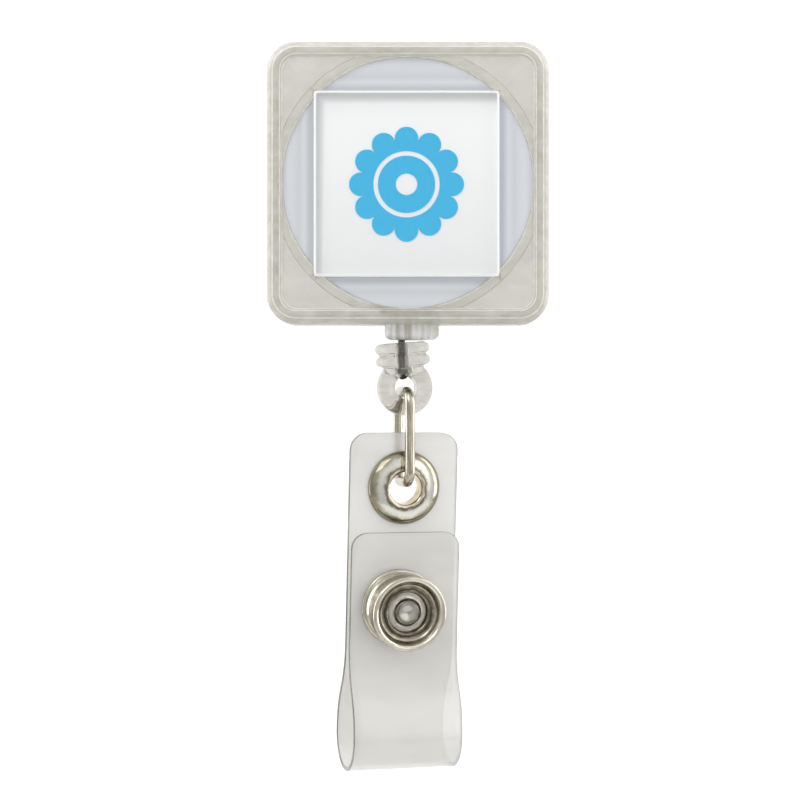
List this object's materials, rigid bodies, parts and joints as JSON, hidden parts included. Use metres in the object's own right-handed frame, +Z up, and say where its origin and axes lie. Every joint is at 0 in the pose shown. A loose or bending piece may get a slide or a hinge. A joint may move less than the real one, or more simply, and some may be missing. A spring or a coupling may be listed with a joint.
{
  "type": "retractable badge reel",
  "caption": "Square translucent badge reel with a sprung cord, swivelling bulldog clip, wire link and snap-closed clear badge strap.",
  "frame": {"origin": "the point where the clip's jaws grip, behind the lower half of the case", "axes": "+X to the right, -Y the way the label faces, +Z up from the hanging strap to the clip's finger pads"},
  "size_m": [0.0318, 0.0197, 0.0823],
  "materials": {
    "case_plastic": "satin",
    "disc_plastic": "satin",
    "white_print": "matt",
    "blue_ink": "matt",
    "clear_resin": "gloss",
    "grey_cord": "woven",
    "white_plastic": "satin",
    "spring_steel": "satin",
    "clear_plastic": "gloss",
    "nickel": "gloss",
    "clear_vinyl": "gloss",
    "clip_steel": "satin"
  },
  "bodies": {
    "clip": {"clip_base": "clip_steel", "clip_pin": "clip_steel", "clip_spring": "spring_steel", "swivel_rivet": "nickel", "swivel_washer": "white_plastic"},
    "jaw": {"clip_jaw": "clip_steel"},
    "case": {"front_shell": "case_plastic", "back_shell": "case_plastic", "face_disc": "disc_plastic", "label_card": "white_print", "label_emblem": "blue_ink", "label_dome": "clear_resin", "cord_lead": "grey_cord"},
    "spool": {"drum": "white_plastic", "drum_cap": "white_plastic", "power_spring": "spring_steel", "cord_winding": "grey_cord"},
    "cord_end": {"cord_tail": "grey_cord", "cord_knot": "grey_cord"},
    "stopper": {"cord_stopper": "clear_plastic"},
    "link": {"wire_link": "nickel"},
    "strap": {"strap_back": "clear_vinyl", "grommet_front": "nickel", "grommet_back": "nickel", "snap_stud": "nickel", "snap_cap": "nickel"},
    "flap": {"strap_flap": "clear_vinyl", "snap_socket": "nickel", "socket_eyelet": "nickel"}
  },
  "joints": [
    {"name": "jaw_open", "type": "hinge", "parent": "clip", "child": "jaw", "pos_m": [0, 0.0025, 0.0183], "axis": [1, 0, 0], "range_deg": [0, 22], "stiffness_Nm_per_rad": 0.05, "springref_deg": -45.84, "deforming": ["clip_spring"]},
    {"name": "case_swivel", "type": "hinge", "parent": "clip", "child": "case", "pos_m": [0, -0.0057, 0.0138], "axis": [0, 1, 0], "continuous": true},
    {"name": "drum_spin", "type": "hinge", "parent": "case", "child": "spool", "pos_m": [0, -0.0057, 0.0138], "axis": [0, -1, 0], "range_deg": [0, 4182.9]},
    {"name": "cord_pull", "type": "slide", "parent": "case", "child": "cord_end", "axis": [0, 0, -1], "range_m": [0, 0.762], "stiffness_N_per_m": 1, "springref_m": -0.7, "deforming": ["cord_tail"]},
    {"name": "stopper_swivel", "type": "hinge", "parent": "cord_end", "child": "stopper", "pos_m": [-0.00058, -0.0057, -0.0052], "axis": [0, 0, 1], "continuous": true},
    {"name": "link_swing", "type": "hinge", "parent": "stopper", "child": "link", "pos_m": [-0.00045, -0.0057, -0.00955], "axis": [-0.2756, 0.9613, 0], "range_deg": [-60, 60]},
    {"name": "strap_swing", "type": "hinge", "parent": "link", "child": "strap", "pos_m": [-0.00045, -0.0057, -0.0198], "axis": [-0.2756, 0.9613, 0], "range_deg": [-32, 32]},
    {"name": "flap_open", "type": "hinge", "parent": "strap", "child": "flap", "pos_m": [0.00004, -0.00774, -0.04889], "axis": [0.9613, 0.2756, 0], "range_deg": [0, 120]}
  ],
  "couplings": [
    {"joint": "drum_spin", "follows": "cord_pull", "rad_per_m": 95.694}
  ]
}
